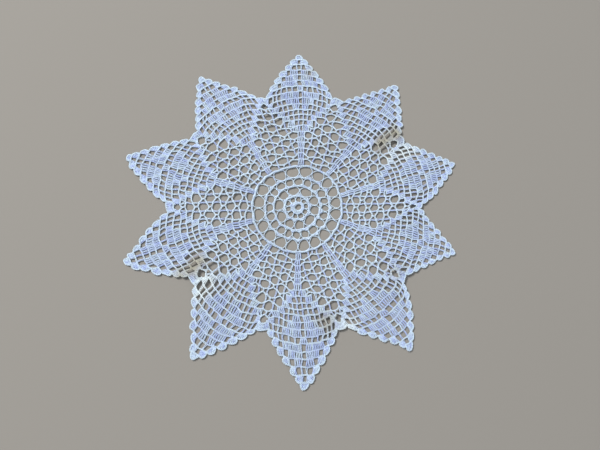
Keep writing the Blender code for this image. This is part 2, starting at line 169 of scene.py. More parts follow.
# Small pull of the stitches to and fro, in waves of these lengths and reaches.
# Each comes in four: the axis along which it moves a stitch (0 is x, 1 is y),
# the direction in which it runs, and its phase.
PULLS = table(("length", "reach"), ((13.0, 0.20), (8.6, 0.16), (5.5, 0.12)))
PULL_PHASE = 1.7      # between one length and the next, radians
DIRECTIONS = table(("axis", "x", "y", "phase"), (
    (0, 0.8, 0.6, 0.0),
    (0, 0.5, -0.9, 2.1),
    (1, 0.9, 0.4, 4.0),
    (1, 0.3, -1.0, 0.9),
))

# ---- The net and the centre
# The net between two spokes, row by row: the outer limits of its columns, in mm
# from the notch's axis, and what each column holds, from left to right. B is a
# bar of chain, L a lacet (a V of chain) and O a small open cell.
NET = table(("limits", "slots"), (
    ((4.1,), "BLB"),
    ((4.1,), "LBL"),
    ((3.9, 11.5), "OBLBO"),
    ((3.8, 11.2), "BLBLB"),
    ((3.7, 11.1), "LBLBL"),
    ((3.8, 11.5), "BLBLB"),
    ((3.7, 11.0), "LBLBL"),
    ((3.7, 11.2), "OLBLO"),
    ((3.7,), "BLB"),
    ((4.2,), "OBO"),
    ((2.7,), "OLO"),
    ((), "O"),
))
LACET_DEPTH = 0.55    # how far up its row a lacet's V is caught down, in rows
LACET_BELLY = 0.62    # 1 is a straight V, smaller is rounder
ARCH = 0.07           # how far a bar's middle lies above its row's line
BAR_SAG = 0.22        # how far a bar's ends hang below its row's line
RING_FOOT = -0.12     # line of the first row's feet, in the heavy ring
NET_JOIN = 0.6        # the net's outer chains run this far into the spokes
SAME_POST = 2.0       # a post of the row below stands under one within this
LOOSE_FOOT = 1.25     # one with no post below has its foot this many rows down
KNOT = (-0.12, 0.06)  # a lacet is tied from below the bar to above the V's foot
# Points on the chain of a row, a bar, half a lacet and a petal's ledge.
ROW_POINTS = 5
BAR_POINTS = 9
ARM_POINTS = 6
LEDGE_POINTS = 4
NET_PASSES = 3        # in which the radius of a point of the net settles

# Rings of gaps round the centre: how many, their inner and outer radius, the
# angle of the first, the worked strand between two, how round a gap is at its
# foot and head (1 is an ellipse, smaller is closer to a rectangle) and how often
# the thread is wrapped round a post.
RINGS = table(("count", "inner", "outer", "first", "post", "foot", "head", "wraps"), (
    (10, 5.5, 9.6, 9.0, 1.5, 0.9, 0.9, 1),
    (10, 11.9, 19.0, -10.8, 1.8, 1.0, 0.85, 2),
    (20, 21.2, 27.1, 0.0, 1.8, 0.75, 0.9, 1),
    (20, 29.2, 37.8, -9.5, 1.8, 1.05, 0.65, 2),
))
# The posts of a ring (counted from 0) are pulled to and fro in these waves.
WAVES = table(("ring", "reach", "waves", "peak"), (
    (1, 0.79, 1, 95.0), (1, 0.68, 3, 50.0),
    (2, 0.64, 1, 102.0), (2, 0.55, 3, 63.0), (2, 0.41, 4, -25.0), (2, 0.35, 2, 6.0),
    (3, 0.73, 1, 96.0), (3, 0.33, 4, 44.0), (3, 0.33, 2, -28.0), (3, 0.32, 3, -46.0),
))
RING_THREAD = 0.60    # a gap's thread runs this far outside the gap
GAP_CORNERS = 20      # points on the thread round a gap
POST_WRAPS = (0.52, 0.2)  # middle of a post's wraps and their distance, as shares
# Stitches at a post's foot: across it, and how far up where its roundness is 1.
WEDGE = table(("across", "rise"), ((-1.1, 0.3), (0.0, 1.1), (1.1, 0.3)))
WEDGE_FOOT = 0.6      # how deep in the band they begin
# The worked bands, round the hole in the middle and after each ring: their edges.
BANDS = table(("inner", "outer"), (
    (2.6, 5.8), (9.4, 11.9), (18.8, 21.2), (27.1, 29.2), (37.7, 40.6),
))
BAND_INSET = (0.4, 0.5)  # a band's stitches begin and end this far inside it
WIDE_BAND = 3.0       # a wider band has two rounds of chain, others one
BAND_CHAIN = 0.6      # how far inside its edges the two are
BAND_POINTS = 72      # points on a round of chain
# The rings lie a little off the centre: by radius, how far.
DRIFT_RADII = (2.6, 5.9, 9.8, 12.2, 19.2, 21.5, 27.1, 29.2)
DRIFT_X = (0.0, -1.2, -1.2, -1.0, -1.0, -0.4, -0.4, 0.0)
DRIFT_Y = (0.0, -0.5, -0.5, 0.0, 0.0, 0.0, 0.0, 0.0)

# ---- Stitches
# The higher a thread's tone, the lighter and less lilac it is. Tones differ at random, and they
# also paint light and shade: chains and wraps get painted light, trebles and the chain sunk in a
# filled part get painted shade.
STITCH = 1.5          # width of a stitch, and length of a link of chain
THREAD = 0.35         # radius of the thread
WRAP_THREAD = 0.28    # radius where it is drawn tight round a treble
SIDES = 4             # of a thread's section
MID_HEIGHT = 0.70     # middle of the crochet, above its underside
LEG_SHARES = (0.0, 0.22, 0.5, 0.78, 1.0)  # points of a treble's leg, along it
LEG_TWIST = 0.07      # one leg lies this much above the middle, one below
LEAN = 0.06           # how unevenly trebles lean and their wraps sit
TREBLE_TONES = 0.7    # how much trebles differ in tone
LEG_SPACING = 0.66    # between the two legs of a treble that stands alone
LEG_SPLAY = 0.6       # share by which they are wider apart at its ends
BLOCK_SPACING = 0.57  # the same for a treble in a filled part
BLOCK_SPLAY = 0.62
WRAP_REACH = 0.42     # how far the wrap stands up from a treble's middle
WRAP_RISE = 1.9       # length of the wrap along the treble
WRAP_STEPS = 3        # from its middle to each end
WRAP_PAST = 0.09      # how far it passes the middle of a leg
WRAP_TONE = 0.4       # how much lighter it is than its treble
# A single crochet: along it, and how far its legs stand above the middle.
STUB = table(("share", "up"), ((0.0, 0.25), (0.5, 0.42), (1.0, 0.15)))
STUB_SPACING = 0.80   # between its legs at the head
STUB_FOOT = 0.6       # and at the foot, as a share of that
STUB_TONES = (0.9, 0.5)  # mean and spread
CHAIN_WIDTH = 0.40    # the middle of a thread from the chain's, at most
CHAIN_HEIGHT = 0.86   # middle of a chain above the underside
CHAIN_TWIST = 0.02    # one strand lies this much above that, one below
CHAIN_TONE = 1.4
GAP_TONES = (1.5, 0.4)  # of the thread round a gap, mean and spread
# The chain on a filled part's trebles is narrower and lower, and its low tone paints it in
# shade.
BLOCK_CHAIN = {"width": 0.32, "height": 0.66, "tone": 0.2}
# Points along one link of a chain: out from its middle, and up, as shares.
LINK = table(("out", "up"), ((0.35, -0.55), (0.70, -0.05), (0.95, 0.35), (1.0, 0.25)))
LINK_LIFT = 0.28      # how far a link's share of "up" carries
CURVE_STEPS = 60      # a smooth curve is worked out in this many points
CURVE_WINDOW = 15     # and evened out over a window of this many
SPOKE_STITCHES = (3, 3, 3, 4, 4, 4)  # trebles in each row of a spoke
SPOKE_STAND = (1.55, 2.85)  # the outer trebles' places, at foot and top
SPOKE_CHAIN = 0.4     # a row's chain runs this far past them
FIRST_CELL = (2.0, 1.2)  # half width of the cell on a spoke, at foot and head
CELL_THIRDS = (0, 1 / 3, 2 / 3)  # trebles of a filled cell, as shares of it
FLANK_STITCHES = (-3, -2, -1, 1, 2, 3)  # of both flanks, counted from the cells
FLANK_PITCH = (1.5, 1.5)  # of the trebles of a flank, at their feet and heads
NOTCH_FLANK_PITCH = (0.62, 1.25)  # and in the row beside the notch
FLANK_CHAIN = 0.5     # a row's chain runs this far past its flank

# A shell at the end of each filet row above the widest: its rim, as a share of
# its reach past the row's last cell and in rows above the row's foot.
RIM = table(("share", "up"), (
    (0.0, 0.93), (0.35, 1.04), (0.74, 0.97), (0.98, 0.72), (1.02, 0.40), (0.86, 0.06),
))
RIM_INSET = 0.65      # from the shell's edge to the middle of its rim
RIM_POINTS = 24       # on a rim's chain
LOW_SHELL = 5.6       # reach of the lowest shell, beside the notch, at most
SHELL_STITCHES = 7
SHELL_FEET = (0.9, 3.4)  # its first and last foot past the cell, if it has that reach
SHELL_BASE = 0.96     # line of the feet, in rows below the row's line
TIP_HALF = 2.9        # half width of the tip's shell
TIP_BASE = 0.1        # where its rim begins, as a share of its height
TIP_STITCHES = 6
TIP_FEET = 1.7        # its outer feet, from the petal's axis
NOTCH_STITCHES = 8
NOTCH_FEET = 2.7      # the outer feet of a notch's shell, from the notch's axis
NOTCH_HEADS = 0.7     # its outer heads, inside its ends
NOTCH_TOP = 12.93     # line of its rim
NOTCH_POINTS = 13     # on its rim's chain


# ---- Regular layout
def polar(angle, radius):
    """Point at an angle clockwise from +Y."""
    turn = math.radians(angle)
    return (radius * math.sin(turn), radius * math.cos(turn))


def in_axes(angle, across, out):
    """Point given across (clockwise) and out along an axis at an angle."""
    turn = math.radians(angle)
    return (across * math.cos(turn) + out * math.sin(turn),
            out * math.cos(turn) - across * math.sin(turn))


def notch_line(row):
    """Radius of a row line on a notch's axis."""
    return RING_EDGE + NET_ROW * row


def even_line(row):
    """Radius of a row line on a petal's axis, if the rows were even."""
    return notch_line(min(row, SPOKE_TOP)) + PETAL_ROW * max(row - SPOKE_TOP, 0)


def petal_line(row):
    """Radius of a row line on a petal's axis."""
    return even_line(row) - float(np.interp(row, DIP_LINES, DIPS))


def filet(row):
    """The filet row below a row line."""
    return FILET[row - SPOKE_TOP - 1]


def bar_places(row):
    """The bars of a filet row on its line: their numbers, counted from the
    petal's axis, and how far across it they stand."""
    chart = filet(row)["chart"]
    widths = [filet(row)["filled" if mark == "#" else "open"] for mark in chart]
    numbers = np.arange(len(chart) + 1) - len(chart) / 2
    return numbers, np.r_[0.0, np.cumsum(widths)] - sum(widths) / 2


def filet_half(row):
    """Half width of the filet cells of the row below a row line."""
    return float(bar_places(row)[1][-1])


EDGE_LINES = [0, SPOKE_TOP, *range(SPOKE_TOP + 1, WIDE + 1)]
EDGE_HALVES = [*SPOKE_HALF, *(filet_half(line) + FLANK for line in EDGE_LINES[2:-1]),
               filet_half(WIDE)]


def half_width(row):
    """Half width of the spoke or petal, with its flanks, at a row line."""
    return float(np.interp(row, EDGE_LINES, EDGE_HALVES))


def bowed_radius(angle, row):
    """Radius of a bowed filet row at an angle from the petal's axis."""
    side, along = math.sin(math.radians(angle)), math.cos(math.radians(angle))
    bend = ROW_BOW * side * side
    if bend < TINY:
        return petal_line(row)
    return (math.sqrt(along * along + 4 * bend * petal_line(row)) - along) / (2 * bend)


def edge_angle(row):
    """Angle from the petal's axis at which the net begins."""
    half = half_width(row)
    return math.degrees(math.atan2(half, petal_line(row) - ROW_BOW * half * half))


def line_radius(angle, row):
    """Radius of a row line at 0 to HALF_SECTOR degrees from a petal's axis."""
    edge = edge_angle(row)
    if angle <= edge:
        return bowed_radius(angle, row)
    share = (HALF_SECTOR - angle) / (HALF_SECTOR - edge)
    middle = notch_line(row) - float(np.interp(row, SAG_LINES, SAGS))
    return middle + (bowed_radius(edge, row) - middle) * share * share


def petal_point(petal, across, row):
    """Point of a petal, across its axis in mm and out in rows."""
    out = petal_line(row) - ROW_BOW * across * across
    return in_axes(petal * SECTOR_ANGLE, across, out)


def row_point(petal, across, row):
    """Point across a petal's axis, also where the row runs on into the net."""
    if abs(across) <= half_width(row):
        return petal_point(petal, across, row)
    angle = math.degrees(math.atan2(across, petal_line(row) - ROW_BOW * across * across))
    return polar(petal * SECTOR_ANGLE + angle, line_radius(abs(angle), row))


def net_point(notch, across, row):
    """Point of the net, across the notch's axis in mm and out in rows."""
    radius = notch_line(row)
    for _ in range(NET_PASSES):
        turn = math.degrees(abs(across) / radius)
        radius = line_radius(HALF_SECTOR - turn, row)
    angle = (notch + 0.5) * SECTOR_ANGLE + math.copysign(turn, across)
    return polar(angle, radius)


def net_half(row):
    """Half width of the net at a row line."""
    edge = edge_angle(row)
    return math.radians(HALF_SECTOR - edge) * bowed_radius(edge, row)


def ring_point(angle, radius):
    """Point of the centre rings, which drift a little off the centre."""
    x, y = polar(angle, radius)
    return (x + float(np.interp(radius, DRIFT_RADII, DRIFT_X)),
            y + float(np.interp(radius, DRIFT_RADII, DRIFT_Y)))


# ---- From the regular layout to the uneven shape
def even_point(petal, across, row):
    """Point of a petal whose rows are even."""
    out = even_line(row) - ROW_BOW * across * across
    return in_axes(petal * SECTOR_ANGLE, across, out)


def control_points():
    """Pairs of points: in the regular layout, and where they lie."""
    pairs = [((0.0, 0.0), (0.0, 0.0))]
    for number, (petal, brow) in enumerate(zip(PETALS, BROWS)):
        places = (
            (even_point(number, 0.0, TOP - 0.5), petal["crown_x"], petal["crown_r"]),
            (even_point(number, 0.0, WIDE - 0.5), petal["mid_x"], petal["mid_r"]),
            (even_point(number, -END_CELL, WIDE - 0.5), petal["left_x"], petal["left_r"]),
            (even_point(number, END_CELL, WIDE - 0.5), petal["right_x"], petal["right_r"]),
            (even_point(number, -BROW_CELL, BROW - 0.5), brow["left_x"], brow["left_r"]),
            (even_point(number, BROW_CELL, BROW - 0.5), brow["right_x"], brow["right_r"]),
            (even_point(number, 0.0, SPOKE_TOP + 0.5), petal["foot_x"], petal["foot_r"]),
            (in_axes(number * SECTOR_ANGLE, 0.0, TIP_RADIUS), 0.0, petal["tip"]),
        )
        for regular, across, out in places:
            pairs.append((regular, in_axes(petal["angle"], across, out)))
        ring = even_point(number, 0.0, 0)
        pairs.append((ring, polar(petal["spoke_angle"], petal["ring_r"])))
    for number, notch in enumerate(NOTCHES):
        angle = (number + 0.5) * SECTOR_ANGLE
        for line, column in NOTCH_LINES:
            place = polar(notch["angle"], notch[column])
            pairs.append((polar(angle, notch_line(line)), place))
    return pairs


def spline_kernel(distance_squared):
    """Thin-plate spline kernel."""
    return distance_squared * np.log(distance_squared + TINY)


class Warp:
    """Thin-plate spline through the control points."""

    def __init__(self, pairs):
        self.knots = np.array([regular for regular, _ in pairs])
        lying = np.array([place for _, place in pairs])
        count = len(pairs)
        gaps = ((self.knots[:, None] - self.knots[None]) ** 2).sum(-1)
        plane = np.c_[np.ones(count), self.knots]
        system = np.zeros((count + 3, count + 3))
        system[:count, :count] = spline_kernel(gaps)
        system[:count, count:] = plane
        system[count:, :count] = plane.T
        target = np.zeros((count + 3, 2))
        target[:count] = lying
        self.weights = np.linalg.solve(system, target)

    def __call__(self, points):
        gaps = ((points[:, None] - self.knots[None]) ** 2).sum(-1)
        plane = np.c_[np.ones(len(points)), points]
        return np.c_[spline_kernel(gaps), plane] @ self.weights


def unevenness(points):
    """Small pull of the stitches to and fro."""
    x, y = points.T
    moved = np.zeros_like(points)
    for number, pull in enumerate(PULLS):
        turn = 2 * math.pi / pull["length"]
        for way in DIRECTIONS:
            along = turn * (way["x"] * x + way["y"] * y)
            wave = np.sin(along + way["phase"] + PULL_PHASE * number)
            moved[:, way["axis"]] += pull["reach"] * wave
    return moved


def lift(points):
    """Height of the crochet's underside above the surface."""
    height = np.zeros(len(points))
    for swell in SWELLS:
        centre = polar(swell["angle"], swell["radius"])
        share = np.hypot(points[:, 0] - centre[0], points[:, 1] - centre[1]) / swell["spread"]
        bulge = swell["height"] * np.clip(1.0 - share * share, 0.0, 1.0) ** 2
        height = np.maximum(height, bulge)
    return height


# ---- Thread
def to_right(run):
    """Unit vector to the right of a run."""
    return np.array((run[1], -run[0])) / math.hypot(*run)


def distances(points):
    """How far along a line each of its points is."""
    return np.r_[0.0, np.cumsum(np.linalg.norm(np.diff(points, axis=0), axis=1))]


def resampled(points, count):
    """Evenly spaced points on the line through points."""
    reach = distances(points)
    at = np.linspace(0.0, reach[-1], count)
    return np.c_[np.interp(at, reach, points[:, 0]), np.interp(at, reach, points[:, 1])]


class Yarn:
    """The threads of one piece, as centre lines in the regular layout."""

    def __init__(self, seed):
        self.lines = []
        self.draw = np.random.default_rng(seed)

    def thread(self, points, radius=THREAD, closed=False, tone=0.0):
        """Add a thread through points (x, y, height)."""
        self.lines.append((np.asarray(points, float), radius, closed, tone))

    def treble(self, foot, head, spacing=LEG_SPACING, splay=LEG_SPLAY):
        """A treble: two legs, with the thread wrapped round their middle."""
        foot, head = np.array(foot), np.array(head)
        run = head - foot
        side = to_right(run)
        lean, rise = self.draw.normal(0.0, LEAN, 2)
        tone = self.draw.normal(0.0, TREBLE_TONES)
        for hand in (-1, 1):
            line = []
            for share in LEG_SHARES:
                end = abs(2 * share - 1)
                reach = spacing / 2 * (1 + splay * end * end)
                place = foot + run * share + side * (hand * reach + lean * (1 - end))
                line.append((*place, MID_HEIGHT + LEG_TWIST * hand * (1 - end)))
            self.thread(line, tone=tone)
        self.wrap(foot + side * lean, head + side * lean, 0.5 + rise, spacing,
                  tone + WRAP_TONE)

    def block_treble(self, foot, head):
        """A treble of a filled part, its legs close together."""
        self.treble(foot, head, spacing=BLOCK_SPACING, splay=BLOCK_SPLAY)

    def wrap(self, foot, head, middle, spacing, tone):
        """The thread wrapped once round the legs of a treble."""
        run = head - foot
        side = to_right(run)
        rise = WRAP_RISE / math.hypot(*run)
        line = []
        for step in range(-WRAP_STEPS, WRAP_STEPS + 1):
            turn = math.pi * step / WRAP_STEPS
            along = middle + rise * step / (2 * WRAP_STEPS)
            place = foot + run * along + side * (spacing / 2 + WRAP_PAST) * math.sin(turn)
            line.append((*place, MID_HEIGHT + WRAP_REACH * math.cos(turn)))
        self.thread(line, WRAP_THREAD, tone=tone)

    def stub(self, foot, head):
        """A single crochet: two short legs over the chain."""
        foot, head = np.array(foot), np.array(head)
        run = head - foot
        side = to_right(run)
        tone = self.draw.normal(*STUB_TONES)
        for hand in (-1, 1):
            line = []
            for point in STUB:
                reach = STUB_SPACING / 2 * (STUB_FOOT + (1 - STUB_FOOT) * point["share"])
                place = foot + run * point["share"] + side * hand * reach
                line.append((*place, MID_HEIGHT + point["up"]))
            self.thread(line, tone=tone)

    def chain(self, points, width=CHAIN_WIDTH, closed=False, height=CHAIN_HEIGHT,
              tone=CHAIN_TONE):
        """A line of chain links through points (x, y)."""
        points = np.asarray(points, float)
        if closed:
            points = np.vstack((points, points[:1]))
        links = max(1, round(distances(points)[-1] / STITCH))
        places = resampled(points, links * len(LINK) + 1)
        padded = np.vstack((places[:1], places, places[-1:]))
        if closed:
            places = places[:-1]
            padded = np.vstack((places[-1:], places, places[:1]))
        run = padded[2:] - padded[:-2]
        side = np.c_[run[:, 1], -run[:, 0]] / np.hypot(*run.T)[:, None]
        phase = np.arange(len(places)) % len(LINK)
        out = np.array([link["out"] for link in LINK])[phase] * width
        up = height + np.array([link["up"] for link in LINK])[phase] * LINK_LIFT
        for hand in (-1, 1):
            line = np.c_[places + hand * side * out[:, None], up + CHAIN_TWIST * hand]
            self.thread(line, closed=closed, tone=tone)


def thread_mesh(name, yarn, warp):
    """Tubes round the threads of one piece."""
    lines, *values = zip(*yarn.lines)
    sizes = np.array([len(line) for line in lines])
    starts = np.r_[0, np.cumsum(sizes)[:-1]]
    centre = np.vstack(lines)
    radius, closed, tone = (np.repeat(value, sizes) for value in values)
    first = np.repeat(starts, sizes)
    last = first + np.repeat(sizes, sizes) - 1
    number = np.arange(len(centre))
    ahead = np.where(number < last, number + 1, np.where(closed, first, number))
    behind = np.where(number > first, number - 1, np.where(closed, last, number))

    flat = centre[:, :2]
    lying = warp(flat + unevenness(flat))
    centre = np.c_[lying - BOX_CENTRE, centre[:, 2] + lift(lying)]
    run = centre[ahead] - centre[behind]
    run /= np.linalg.norm(run, axis=1)[:, None]
    side = np.cross(run, (0.0, 0.0, 1.0))
    side /= np.linalg.norm(side, axis=1)[:, None]
    up = np.cross(side, run)
    turns = 2 * math.pi * (np.arange(SIDES) + 0.5) / SIDES
    ring = (np.cos(turns)[None, :, None] * side[:, None]
            + np.sin(turns)[None, :, None] * up[:, None])
    corners = (centre[:, None] + radius[:, None, None] * ring).reshape(-1, 3) * MM

    begins, ends = number[ahead != number], ahead[ahead != number]
    step = np.arange(SIDES)
    after = (step + 1) % SIDES
    low, high = begins[:, None] * SIDES, ends[:, None] * SIDES
    quads = np.stack((low + step, low + after, high + after, high + step), -1).reshape(-1, 4)
    caps = np.vstack((number[behind == number][:, None] * SIDES + step[::-1],
                      number[ahead == number][:, None] * SIDES + step))

    reach = distances(centre)
    low = (reach - reach[first])[begins]
    high = low + np.linalg.norm(centre[ends] - centre[begins], axis=1)
    u = np.tile(np.stack((step, step + 1, step + 1, step), -1) / SIDES, (len(begins), 1))
    v = np.repeat(np.stack((low, low, high, high), -1), SIDES, axis=0)
    uv = np.vstack((np.stack((u, v), -1), np.zeros((len(caps), SIDES, 2))))
    return write_mesh(name, corners, np.vstack((quads, caps)), uv, np.repeat(tone, SIDES))


def write_mesh(name, corners, faces, uv, tone):
    """A mesh with its ply map and the tone of each corner."""
    data = bpy.data.meshes.new(name)
    data.vertices.add(len(corners))
    data.vertices.foreach_set("co", corners.astype(np.float32).ravel())
    data.loops.add(faces.size)
    data.loops.foreach_set("vertex_index", faces.astype(np.int32).ravel())
    data.polygons.add(len(faces))
    data.polygons.foreach_set("loop_start", np.arange(0, faces.size, SIDES, dtype=np.int32))
    data.polygons.foreach_set("use_smooth", np.ones(len(faces), bool))
    layer = data.uv_layers.new(name="ply")
    layer.data.foreach_set("uv", uv.astype(np.float32).ravel())
    shade = data.attributes.new("tone", "FLOAT", "POINT")
    shade.data.foreach_set("value", tone.astype(np.float32))
    data.update(calc_edges=True)
    data.validate()
    return data


# ---- Parts of the doily
def along_row(place, number, start, end, row, count=ROW_POINTS):
    """Points on a row line, set by the petal's or notch's function place."""
    return [place(number, across, row) for across in np.linspace(start, end, count)]


def work_spoke(yarn, petal):
    """A spoke: rows of trebles from the heavy ring to the petal."""
    for row, stitches in enumerate(SPOKE_STITCHES, start=1):
        low, high = np.interp((row - 1, row), (0, SPOKE_TOP), SPOKE_STAND)
        foot_line = row - 1 if row > 1 else RING_FOOT
        for share in np.linspace(-1, 1, stitches):
            yarn.block_treble(petal_point(petal, share * low, foot_line),
                              petal_point(petal, share * high, row))
        reach = high + SPOKE_CHAIN
        yarn.chain(along_row(petal_point, petal, -reach, reach, row), **BLOCK_CHAIN)


def work_petal(yarn, petal):
    """A petal's filet rows, their flanks and their shells."""
    lower_numbers = np.array((-0.5, 0.5))
    lower_places = np.array((-1.0, 1.0)) * FIRST_CELL[0]
    for row in range(SPOKE_TOP + 1, TOP + 1):
        numbers, places = bar_places(row)
        chart = "." + filet(row)["chart"] + "."
        for number, first in enumerate(numbers):
            for third in CELL_THIRDS:
                column = first + third
                if third and chart[number + 1] == ".":
                    continue
                head = np.interp(column, numbers, places)
                foot = np.interp(column, lower_numbers, lower_places)
                if abs(column) > lower_numbers[-1]:
                    foot = head
                if row == SPOKE_TOP + 1:
                    head = math.copysign(FIRST_CELL[1], head)
                ends = petal_point(petal, foot, row - 1), petal_point(petal, head, row)
                if "#" in chart[number:number + 2] or third:
                    yarn.block_treble(*ends)
                else:
                    yarn.treble(*ends)
        if row < WIDE:
            pitch = FLANK_PITCH if row < WIDE - 1 else NOTCH_FLANK_PITCH
            for number in FLANK_STITCHES:
                edge = math.copysign(places[-1], number)
                foot, head = (edge + number * step for step in pitch)
                yarn.block_treble(row_point(petal, foot, row - 1), row_point(petal, head, row))
        work_row_line(yarn, petal, row)
        if row > WIDE:
            for side in (-1, 1):
                work_shell(yarn, petal, side, row)
        lower_numbers, lower_places = numbers, places
    work_tip(yarn, petal)


def work_row_line(yarn, petal, row):
    """The chain on a filet row: bright over its open cells, low over the rest."""
    chart, edges = filet(row)["chart"], list(bar_places(row)[1])
    if row < WIDE:
        reach = half_width(row) + FLANK_CHAIN
        chart, edges = f"#{chart}#", [-reach, *edges, reach]
    for mark, run in itertools.groupby(zip(chart, edges, edges[1:]), key=lambda cell: cell[0]):
        cells = list(run)
        line = along_row(petal_point, petal, cells[0][1], cells[-1][2], row, 2 * len(cells) + 1)
        yarn.chain(line, **(BLOCK_CHAIN if mark == "#" else {}))


def along_curve(corners, count):
    """Evenly spaced points on a smooth curve near corners, from end to end."""
    fine = resampled(np.array(corners, float), CURVE_STEPS)
    window = np.hanning(CURVE_WINDOW)[1:-1]
    pad = len(window) // 2
    padded = np.vstack((2 * fine[0] - fine[pad:0:-1], fine, 2 * fine[-1] - fine[-2:-pad - 2:-1]))
    soft = [np.convolve(line, window / window.sum(), mode="valid") for line in padded.T]
    return resampled(np.column_stack(soft), count)


def work_shell(yarn, petal, side, row):
    """A fan of trebles that ends a filet row."""
    start = filet_half(row)
    reach = BROWS[petal]["left_shell" if side < 0 else "right_shell"]
    if row == WIDE + 1:
        reach = min(reach, LOW_SHELL)
    rim = [petal_point(petal, side * (start + (reach - RIM_INSET) * corner["share"]),
                       row - 1 + corner["up"]) for corner in RIM]
    heads = along_curve(rim, SHELL_STITCHES + 1)[1:]
    feet = np.linspace(*SHELL_FEET, SHELL_STITCHES)
    for foot, head in zip(feet, heads):
        across = side * (start + foot * reach / LOW_SHELL)
        yarn.treble(petal_point(petal, across, row - SHELL_BASE), head)
    yarn.chain(along_curve(rim, RIM_POINTS))


def work_tip(yarn, petal):
    """The fan of trebles on a petal's tip."""
    base = petal_line(TOP)
    height = TIP_RADIUS - base - RIM_INSET
    rim = [in_axes(petal * SECTOR_ANGLE, TIP_HALF * math.cos(turn),
                   base + height * (TIP_BASE + (1 - TIP_BASE) * math.sin(turn)))
           for turn in np.linspace(math.pi, 0.0, RIM_POINTS)]
    heads = along_curve(rim, TIP_STITCHES + 2)[1:-1]
    for foot, head in zip(np.linspace(-TIP_FEET, TIP_FEET, TIP_STITCHES), heads):
        yarn.treble(in_axes(petal * SECTOR_ANGLE, foot, base), head)
    yarn.chain(rim)


def column_bounds(row):
    """Where the columns of a row of the net begin and end, left to right."""
    limits = NET[row - 1]["limits"]
    half = net_half(row) + NET_JOIN
    return [-half, *(-limit for limit in reversed(limits)), *limits, half]


def work_net(yarn, notch):
    """The net between two spokes, and the shell in the notch."""
    for row in range(1, len(NET) + 1):
        bounds, slots = column_bounds(row), NET[row - 1]["slots"]
        lower = column_bounds(row - 1)[1:-1] if row > 1 else []
        for across in bounds[1:-1]:
            below = min(lower, key=lambda limit: abs(limit - across), default=across)
            line = row - 1 if row > 1 else RING_FOOT
            if abs(below - across) > SAME_POST:
                below, line = across, row - LOOSE_FOOT
            yarn.treble(net_point(notch, below, line), net_point(notch, across, row))
        for slot, start, end in zip(slots, bounds, bounds[1:]):
            work_slot(yarn, notch, row, slot, start, end)
    row = SPOKE_TOP + 1
    start, end = half_width(row), half_width(row + 1) + NET_JOIN
    for petal, side in ((notch, 1), (notch + 1, -1)):
        yarn.chain(along_row(row_point, petal, side * start, side * end, row, LEDGE_POINTS))
    work_notch_shell(yarn, notch)


def work_slot(yarn, notch, row, slot, start, end):
    """One column of one row of the net."""
    middle = (start + end) / 2
    if slot == "O":
        yarn.chain(along_row(net_point, notch, start, end, row))
    elif slot == "B":
        yarn.chain([net_point(notch, middle + (end - middle) * share,
                              row - BAR_SAG + (ARCH + BAR_SAG) * (1 - share * share))
                    for share in np.linspace(-1, 1, BAR_POINTS)])
    else:
        low = row - 1 + LACET_DEPTH
        for corner in (start, end):
            yarn.chain([net_point(notch, corner + (middle - corner) * share,
                                  row - (row - low) * share ** LACET_BELLY)
                        for share in np.linspace(0, 1, ARM_POINTS)])
        yarn.stub(net_point(notch, middle, row - 1 + ARCH + KNOT[0]),
                  net_point(notch, middle, low + KNOT[1]))


def work_notch_shell(yarn, notch):
    """The wide, low fan that joins two petals."""
    half = net_half(WIDE)
    for share in np.linspace(-1, 1, NOTCH_STITCHES):
        yarn.treble(net_point(notch, NOTCH_FEET * share, WIDE - 1),
                    net_point(notch, (half - NOTCH_HEADS) * share, NOTCH_TOP))
    yarn.chain(along_row(net_point, notch, -half, half, NOTCH_TOP, NOTCH_POINTS))


def ring_pull(number, angle):
    """How far a ring's posts are pulled along it at an angle, in degrees."""
    ring = RINGS[number]
    pull = sum(wave["reach"] * math.cos(wave["waves"] * math.radians(angle - wave["peak"]))
               for wave in WAVES if wave["ring"] == number)
    return math.degrees(2 * pull / (ring["inner"] + ring["outer"]))


def gap_loop(number, ring, gap):
    """The line of the thread round a gap between two posts."""
    pitch = 360.0 / ring["count"]
    mid_radius = (ring["inner"] + ring["outer"]) / 2
    half_out = (ring["outer"] - ring["inner"]) / 2 + RING_THREAD
    half_turn = pitch / 2 - math.degrees((ring["post"] / 2 - RING_THREAD) / mid_radius)
    loop = []
    for turn in np.arange(GAP_CORNERS) * 2 * math.pi / GAP_CORNERS:
        rounding = ring["head" if turn < math.pi else "foot"]
        along, out = (math.copysign(abs(value) ** rounding, value)
                      for value in (math.cos(turn), math.sin(turn)))
        angle = ring["first"] + pitch * gap + half_turn * along
        loop.append(ring_point(angle + ring_pull(number, angle), mid_radius + half_out * out))
    return loop


def work_centre(yarn):
    """The rings of gaps round the centre, with the worked bands between them."""
    for number, ring in enumerate(RINGS):
        pitch = 360.0 / ring["count"]
        for gap in range(ring["count"]):
            tone = yarn.draw.normal(*GAP_TONES)
            loop = [(*place, MID_HEIGHT) for place in gap_loop(number, ring, gap)]
            yarn.thread(loop, closed=True, tone=tone)
            angle = ring["first"] + pitch * (gap + 0.5)
            angle += ring_pull(number, angle)
            foot, head = (np.array(ring_point(angle, ring[edge])) for edge in ("inner", "outer"))
            for wrap in range(ring["wraps"]):
                middle = POST_WRAPS[0] + POST_WRAPS[1] * (wrap - (ring["wraps"] - 1) / 2)
                yarn.wrap(foot, head, middle, ring["post"] - 2 * RING_THREAD, tone)
            for stitch in WEDGE:
                turn = angle + math.degrees(stitch["across"] / ring["inner"])
                yarn.stub(ring_point(turn, ring["inner"] - WEDGE_FOOT),
                          ring_point(turn, ring["inner"] + stitch["rise"] * ring["foot"]))
    for band in BANDS:
        work_band(yarn, band["inner"], band["outer"])


